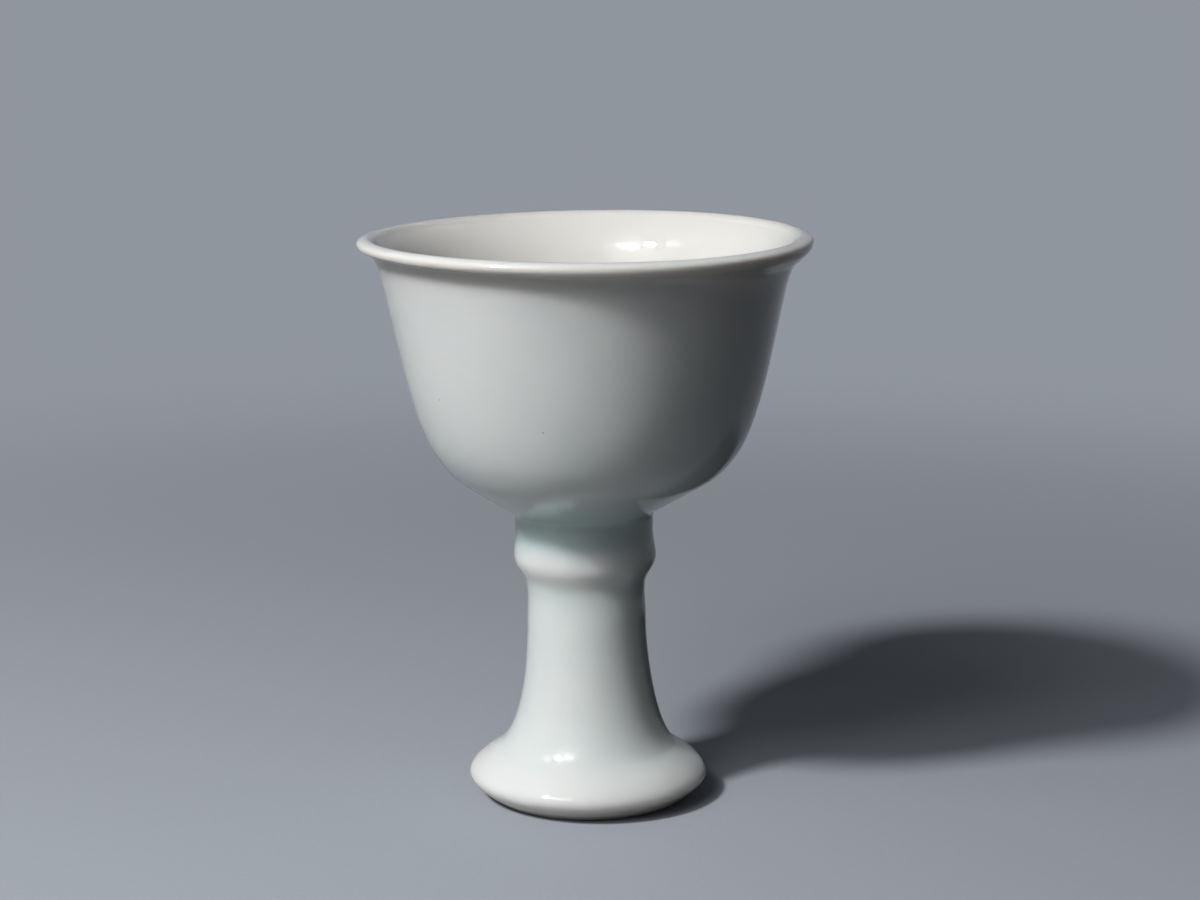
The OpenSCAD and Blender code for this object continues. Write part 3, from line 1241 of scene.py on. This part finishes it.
@dataclass(frozen=True)
class Studio:
    """Pale floor that runs into a pale background, low even light, the softbox and the camera."""

    floor: Colour = (0.4, 0.432, 0.48)
    floor_size: float = 12.0
    floor_roughness: float = 0.75
    grain_scale: float = 900.0
    grain_limits: Limits = (0.3, 0.7)
    grain_tones: Limits = (0.985, 1.015)
    backdrop: Colour = (0.28, 0.305, 0.345)
    fade_place: Place = (0.0, 0.0, 0.0)
    fade_limits: Limits = (0.12, 0.42)
    bounce: Colour = (0.33, 0.345, 0.36)
    bounce_place: Place = (-0.09, -0.07, 0.0)
    bounce_limits: Limits = (0.05, 0.16)
    even_light: Colour = (0.011, 0.012, 0.0135)
    camera_place: Place = (1.93, -444.07, 146.99)
    camera_pitch: float = 11.478
    lens: float = 84.9
    softbox: Softbox = Softbox()

    @staticmethod
    def looked_at(tree: Tree) -> Socket:
        """Value that is 1 for rays that show the background: from the camera, a reflection or glass.

        Args:
            tree: Tree that gets the nodes.

        Returns:
            The socket with the value.
        """
        path = add_node(tree, "ShaderNodeLightPath").outputs
        shown = calculate(tree, "MAXIMUM", path["Is Camera Ray"], path["Is Glossy Ray"])
        return calculate(tree, "MAXIMUM", shown, path["Is Transmission Ray"])

    def surroundings(self, tree: Tree, shown: Socket) -> Socket:
        """Colour of the low even light, or of the background where it is looked at."""
        return blend(tree, shown, self.even_light, self.backdrop)

    def floor_material(self) -> Material:
        """Builds the floor's material: it takes the shadow near the cup and fades into the background.

        Returns:
            The material.
        """
        material, tree, shader = new_material("pale floor")
        vector = add_node(tree, "ShaderNodeTexCoord").outputs["Object"]
        shown = self.looked_at(tree)
        # For rays that don't show the background, the floor takes the bounce colour near a place at the front
        # left and the even light's dark colour further off. This is painted bounce light: a pool that lights
        # the cup's front left and leaves its right side dark.
        dim = ramp(tree, distance(tree, vector, self.bounce_place), self.bounce_limits)
        near = blend(tree, dim, self.bounce, self.even_light)
        colour = blend(tree, shown, near, self.floor)
        grain = mottle(tree, vector, self.grain_scale, detail=4.0)
        tone = ramp(tree, grain, self.grain_limits, *self.grain_tones)
        tree.links.new(scaled(tree, colour, tone), shader.inputs["Base Color"])
        shader.inputs["Roughness"].default_value = self.floor_roughness
        far = ramp(tree, distance(tree, vector, self.fade_place), self.fade_limits)
        glow = add_node(tree, "ShaderNodeEmission", {"Color": self.surroundings(tree, shown)})
        faded = add_node(tree, "ShaderNodeMixShader", {0: far, 1: shader.outputs[0], 2: glow.outputs[0]})
        clear = add_node(tree, "ShaderNodeBsdfTransparent")
        below = add_node(tree, "ShaderNodeNewGeometry").outputs["Backfacing"]
        sided = add_node(tree, "ShaderNodeMixShader", {0: below, 1: faded.outputs[0], 2: clear.outputs[0]})
        tree.links.new(sided.outputs[0], tree.nodes["Material Output"].inputs["Surface"])
        return material

    def build_floor(self) -> None:
        """Lays the floor under the foot ring."""
        half = self.floor_size / 2
        level = CAD_BOX[0].z
        corners = [(-half, -half, level), (half, -half, level), (half, half, level), (-half, half, level)]
        mesh = bpy.data.meshes.new("floor")
        mesh.from_pydata(corners, [], [(0, 1, 2, 3)])
        mesh.materials.append(self.floor_material())
        new_object("floor", mesh)

    def build_world(self) -> None:
        """Gives the world its low even light, and the background's colour where it is looked at."""
        world = bpy.data.worlds.new("studio")
        world.use_nodes = True
        tree = world.node_tree
        colour = self.surroundings(tree, self.looked_at(tree))
        tree.links.new(colour, tree.nodes["Background"].inputs["Color"])
        bpy.context.scene.world = world

    def build_camera(self) -> None:
        """Sets the camera at the photograph's viewing angle."""
        data = bpy.data.cameras.new("camera")
        data.lens = self.lens
        camera = new_object("camera", data)
        camera.location = Vector(self.camera_place) * MM
        camera.rotation_euler = (math.radians(90 - self.camera_pitch), 0.0, 0.0)
        bpy.context.scene.camera = camera

    def build(self) -> None:
        """Builds the whole studio."""
        bpy.context.scene.view_settings.view_transform = "Standard"
        self.build_camera()
        self.build_floor()
        self.build_world()
        self.softbox.build()


def main() -> None:
    """Builds the studio and the cup."""
    logging.basicConfig(level=logging.INFO, format="%(name)s: %(message)s")
    Studio().build()
    effects = Effects()
    porcelain = BARE_PORCELAIN.material(effects)
    wheel = Wheel(Throwing())
    stem = Stem()
    stem.build(wheel, porcelain)
    bowl = Bowl()
    bowl.build(wheel, porcelain, DRIED_SLIP.material(effects))
    GlazeCoats(stem, bowl).build(wheel, INSIDE_GLAZE.material(effects), OUTSIDE_GLAZE.material(effects))


if __name__ == "__main__":
    main()
